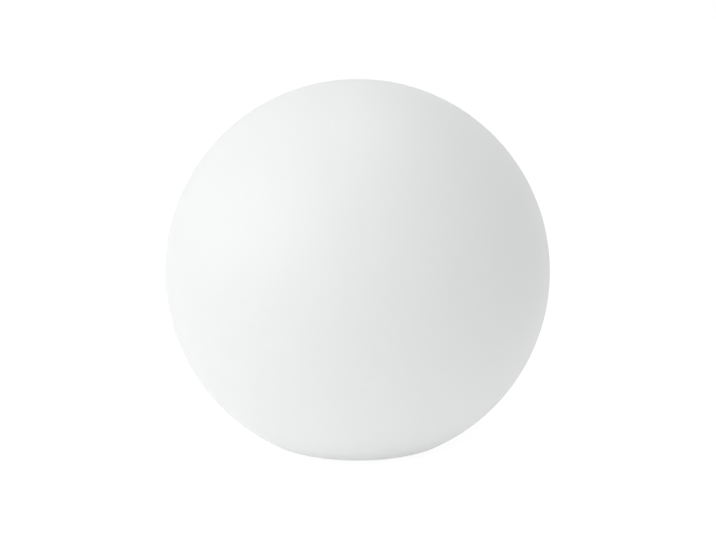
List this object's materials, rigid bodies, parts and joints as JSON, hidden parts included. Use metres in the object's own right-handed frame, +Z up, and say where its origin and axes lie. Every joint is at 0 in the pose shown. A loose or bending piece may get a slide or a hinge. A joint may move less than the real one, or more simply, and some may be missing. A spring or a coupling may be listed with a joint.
{
  "type": "ball light",
  "caption": "White translucent ball light with a flat base: a moulded globe that unscrews from a rechargeable LED base unit with a clear dome, push button and charging port.",
  "frame": {"origin": "on the ground under the middle of the ball, in the plane of the feet", "axes": "+Z up along the axis of the ball and of the screw collar; +X to the right and +Y away in the picture"},
  "size_m": [0.2999, 0.3, 0.2831],
  "materials": {
    "globe_plastic": "satin translucent white polyethylene",
    "unit_plastic": "fine-textured white moulded plastic",
    "silicone": "matt grey silicone",
    "foot_rubber": "matt black rubber",
    "brass": "machined",
    "screw_steel": "plated",
    "button_plastic": "satin dark grey",
    "black_plastic": "moulded",
    "clear_plastic": "clear moulded",
    "circuit_board": "green solder mask",
    "white_board": "white solder mask",
    "socket_plastic": "ivory moulded",
    "cell_wrap": "shrink wrap",
    "nickel": "rolled strip",
    "red_lead": "insulation",
    "black_lead": "insulation",
    "grey_lead": "insulation",
    "deck_metal": "stamped sheet",
    "led_body": "moulded",
    "led_phosphor": "cast resin"
  },
  "bodies": {
    "base_unit": {"base_housing": "unit_plastic", "foot_pads": "foot_rubber", "bottom_cover": "unit_plastic", "cover_gasket": "silicone", "cover_screws": "screw_steel", "tact_switch": "black_plastic", "charge_jack": "black_plastic", "jack_gasket": "silicone", "flap_tether": "silicone", "light_pipe": "clear_plastic", "main_board": "circuit_board", "board_screws": "screw_steel", "indicator_led": "led_body", "controller_chip": "black_plastic", "power_coil": "black_plastic", "wire_sockets": "socket_plastic", "battery_tray": "black_plastic", "battery_cells": "cell_wrap", "battery_tabs": "nickel", "lead_positive": "red_lead", "lead_negative": "black_lead", "led_plate": "deck_metal", "plate_screws": "screw_steel", "led_board": "white_board", "led_screws": "screw_steel", "led_packages": "led_body", "led_windows": "led_phosphor", "remote_receiver": "black_plastic", "led_ribbon": "grey_lead", "lens_dome": "clear_plastic", "dome_seal": "silicone"},
    "button": {"power_button": "button_plastic", "button_ring": "foot_rubber", "switch_plunger": "black_plastic"},
    "flap": {"charge_flap": "silicone"},
    "seal_ring": {"globe_seal": "silicone"},
    "globe": {"ball_shell": "globe_plastic", "thread_collar": "unit_plastic", "collar_gasket": "silicone", "collar_inserts": "brass", "collar_screws": "screw_steel"}
  },
  "joints": [
    {"name": "globe_twist", "type": "hinge", "parent": "base_unit", "child": "seal_ring", "pos_m": [0, 0, 0], "axis": [0, 0, 1], "range_deg": [0, 720]},
    {"name": "globe_lift", "type": "slide", "parent": "seal_ring", "child": "globe", "axis": [0, 0, 1], "range_m": [0, 0.15]},
    {"name": "button_press", "type": "slide", "parent": "base_unit", "child": "button", "axis": [0, 0, 1], "range_m": [0, 0.0008], "stiffness_N_per_m": 2500, "springref_m": -0.0006},
    {"name": "flap_hinge", "type": "hinge", "parent": "base_unit", "child": "flap", "pos_m": [-0.009, 0.02004, 0.0022], "axis": [0, 1, 0], "range_deg": [0, 100]}
  ]
}
